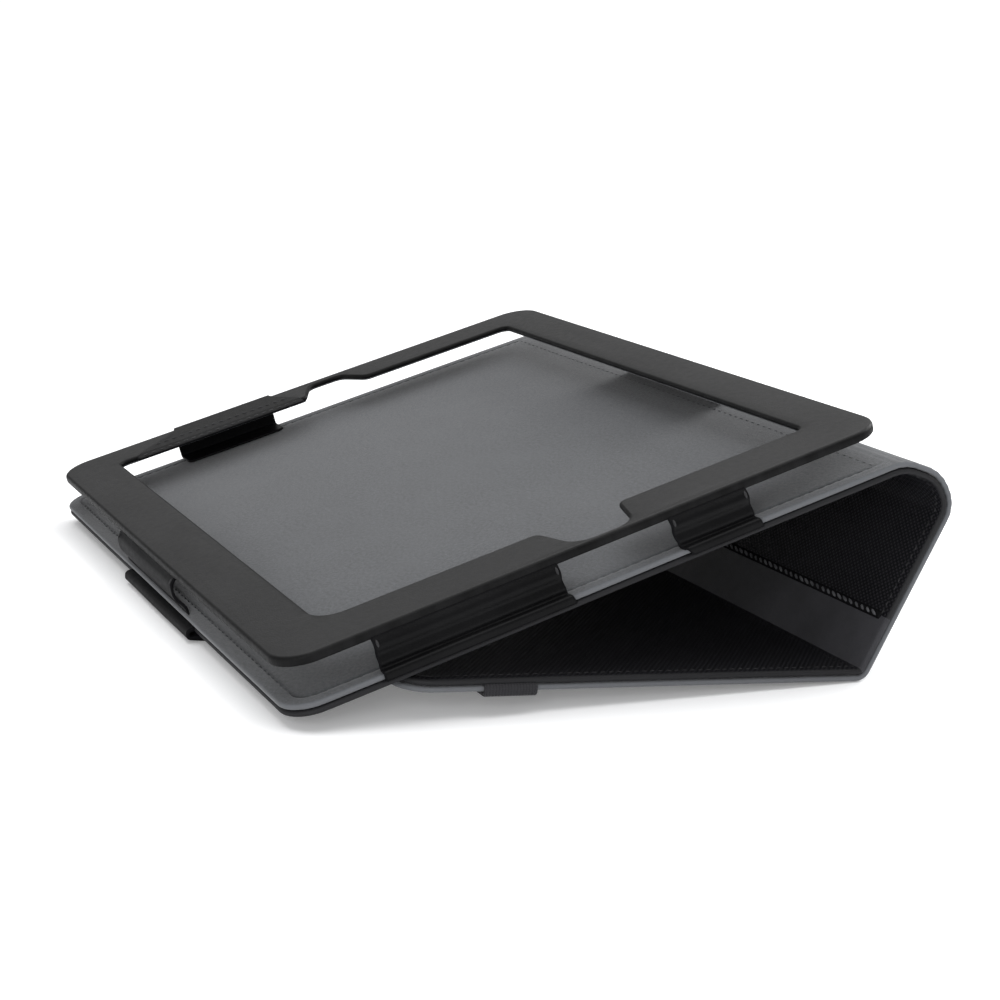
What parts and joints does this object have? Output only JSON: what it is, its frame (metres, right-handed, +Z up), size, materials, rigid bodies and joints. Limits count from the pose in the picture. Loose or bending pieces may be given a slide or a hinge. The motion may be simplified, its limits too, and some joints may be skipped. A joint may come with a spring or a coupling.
{
  "type": "tablet folio case",
  "caption": "Leather folio case for a tablet: framed holder with side walls, tuck-in flap and closure tab, propped at a low angle on its folded-back cover.",
  "frame": {"origin": "centre of the whole case's box, on the table that it stands on", "axes": "+X along the case's long edge towards the connector side, +Y from the low edge of the holder to the spine, +Z up"},
  "size_m": [0.2484, 0.2072, 0.077],
  "materials": {
    "frame_leather": "matt fine grain, black",
    "wall_leather": "semi-gloss fine grain, black",
    "woven_textile": "coarse dotted weave, black",
    "suede_lining": "matt brushed suede, dark grey",
    "strip_leather": "smooth matt, charcoal",
    "stiffener_board": "grey board",
    "elastic_webbing": "ribbed elastic, black",
    "steel": "plated"
  },
  "bodies": {
    "holder": {"back_skin": "woven_textile", "back_board": "stiffener_board", "back_lining": "suede_lining", "frame_skin": "frame_leather", "frame_board": "stiffener_board", "frame_lining": "suede_lining", "near_wall_low": "wall_leather", "near_wall_high": "wall_leather", "low_wall": "wall_leather", "spine_wall": "wall_leather", "flap_patch": "wall_leather"},
    "spine_inner": {"spine_inner_skin": "woven_textile", "spine_inner_lining": "suede_lining", "spine_fold": "suede_lining"},
    "spine_outer": {"spine_outer_skin": "woven_textile", "spine_outer_lining": "suede_lining", "spine_middle_fold": "suede_lining"},
    "upper_cover": {"upper_cover_skin": "woven_textile", "upper_cover_board": "stiffener_board", "cover_strip_skin": "strip_leather", "cover_strip_board": "stiffener_board", "upper_cover_lining": "suede_lining", "seam_welt": "strip_leather", "cover_fold": "suede_lining"},
    "lower_cover": {"lower_cover_skin": "woven_textile", "lower_cover_board": "stiffener_board", "lower_cover_lining": "suede_lining", "catch_plate": "steel", "hand_strap": "elastic_webbing", "stand_fold": "strip_leather"},
    "tab_root": {"tab_root_fold": "wall_leather"},
    "tab_bridge": {"tab_bridge_lining": "suede_lining", "tab_bridge_core": "stiffener_board", "tab_bridge_leather": "wall_leather"},
    "tab_tip": {"tab_tip_lining": "suede_lining", "tab_tip_core": "stiffener_board", "tab_tip_leather": "wall_leather", "tab_magnet_far": "steel", "tab_magnet_near": "steel", "tab_tip_fold": "wall_leather"},
    "flap_side": {"flap_side": "wall_leather", "flap_root_fold": "wall_leather"},
    "flap_tuck": {"flap_tuck": "wall_leather", "flap_tuck_fold": "wall_leather"}
  },
  "joints": [
    {"name": "spine_fold", "type": "hinge", "parent": "holder", "child": "spine_inner", "pos_m": [0, 0.08469, 0.06444], "axis": [1, 0, 0], "range_deg": [0, 72.2]},
    {"name": "spine_middle_fold", "type": "hinge", "parent": "spine_inner", "child": "spine_outer", "pos_m": [0, 0.09684, 0.06042], "axis": [1, 0, 0], "range_deg": [0, 106.13]},
    {"name": "cover_fold", "type": "hinge", "parent": "spine_outer", "child": "upper_cover", "pos_m": [0, 0.10173, 0.05157], "axis": [1, 0, 0], "range_deg": [0, 136.67]},
    {"name": "stand_fold", "type": "hinge", "parent": "upper_cover", "child": "lower_cover", "pos_m": [0, 0.07631, 0.0019], "axis": [1, 0, 0], "range_deg": [0, 66.2]},
    {"name": "tab_root_fold", "type": "hinge", "parent": "holder", "child": "tab_root", "pos_m": [0.003, -0.1024, 0.00338], "axis": [-1, 0, 0], "range_deg": [0, 162.1]},
    {"name": "tab_bridge_fold", "type": "hinge", "parent": "tab_root", "child": "tab_bridge", "pos_m": [0.003, -0.1024, 0.0012], "axis": [-1, 0, 0], "range_deg": [0, 90]},
    {"name": "tab_tip_fold", "type": "hinge", "parent": "tab_bridge", "child": "tab_tip", "pos_m": [0.003, -0.0826, 0.0012], "axis": [-1, 0, 0], "range_deg": [0, 90]},
    {"name": "flap_side_fold", "type": "hinge", "parent": "holder", "child": "flap_side", "pos_m": [-0.1222, -0.04313, 0.03723], "axis": [0, 0.9516, 0.3074], "range_deg": [0, 75]},
    {"name": "flap_tuck_fold", "type": "hinge", "parent": "flap_side", "child": "flap_tuck", "pos_m": [-0.1222, -0.03989, 0.02719], "axis": [0, 0.9516, 0.3074], "range_deg": [-60, 0]}
  ],
  "couplings": [
    {"joint": "flap_tuck_fold", "follows": "flap_side_fold", "ratio": -0.8}
  ]
}
